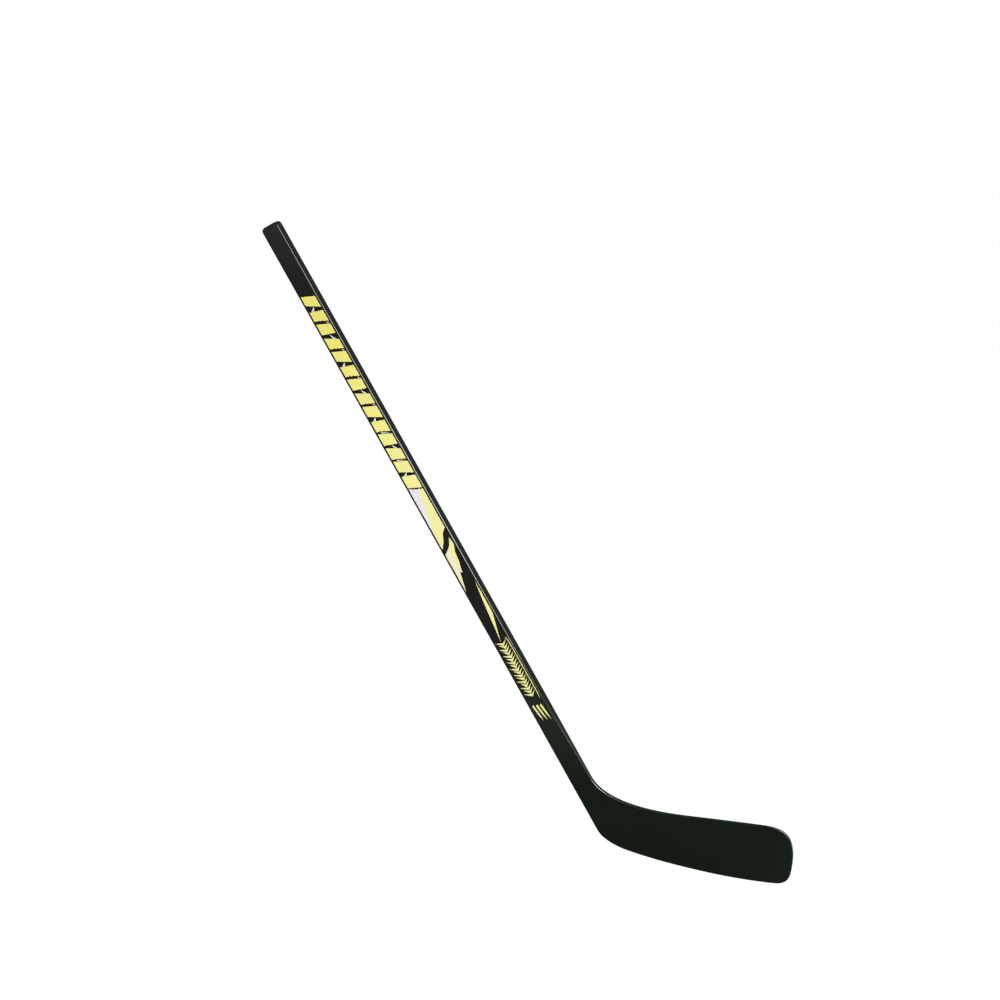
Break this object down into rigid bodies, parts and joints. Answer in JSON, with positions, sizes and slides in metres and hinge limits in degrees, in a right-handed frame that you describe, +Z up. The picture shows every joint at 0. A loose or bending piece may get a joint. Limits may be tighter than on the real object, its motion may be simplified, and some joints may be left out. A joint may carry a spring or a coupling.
{
  "type": "ice hockey stick",
  "caption": "Youth ice hockey stick with a rectangular laminated shaft, a thinned hosel and a curved black blade, with bright abstract graphics on its wide faces.",
  "frame": {"origin": "the point of the sole that touches the ice, in the middle of the shaft's thickness", "axes": "+Z up with the stick in the playing position, +X along the blade towards the toe, -Y the front wide face, which the toe also curves towards; the shaft rises towards -X at 50 degrees"},
  "size_m": [0.8521, 0.0227, 0.7331],
  "materials": {
    "black_lacquer": "satin black lacquer with printed graphics under a clear coat",
    "black_glass": "black painted woven glass, satin",
    "glass_laminate": "resin-filled unidirectional glass fibre, semi-matt",
    "birch": "sawn birch veneer, glued",
    "poplar": "planed poplar, glued",
    "abs_plastic": "moulded ABS, matt"
  },
  "bodies": {
    "root": {"shaft_finish_sleeve": "black_lacquer", "shaft_glass_front": "glass_laminate", "shaft_glass_back": "glass_laminate", "shaft_veneer_front": "birch", "shaft_veneer_back": "birch", "shaft_core_ply_1": "poplar", "shaft_core_ply_2": "poplar", "shaft_core_ply_3": "poplar", "shaft_core_ply_4": "poplar", "shaft_core_ply_5": "poplar", "blade_core": "abs_plastic", "blade_sock": "black_glass"}
  },
  "joints": []
}
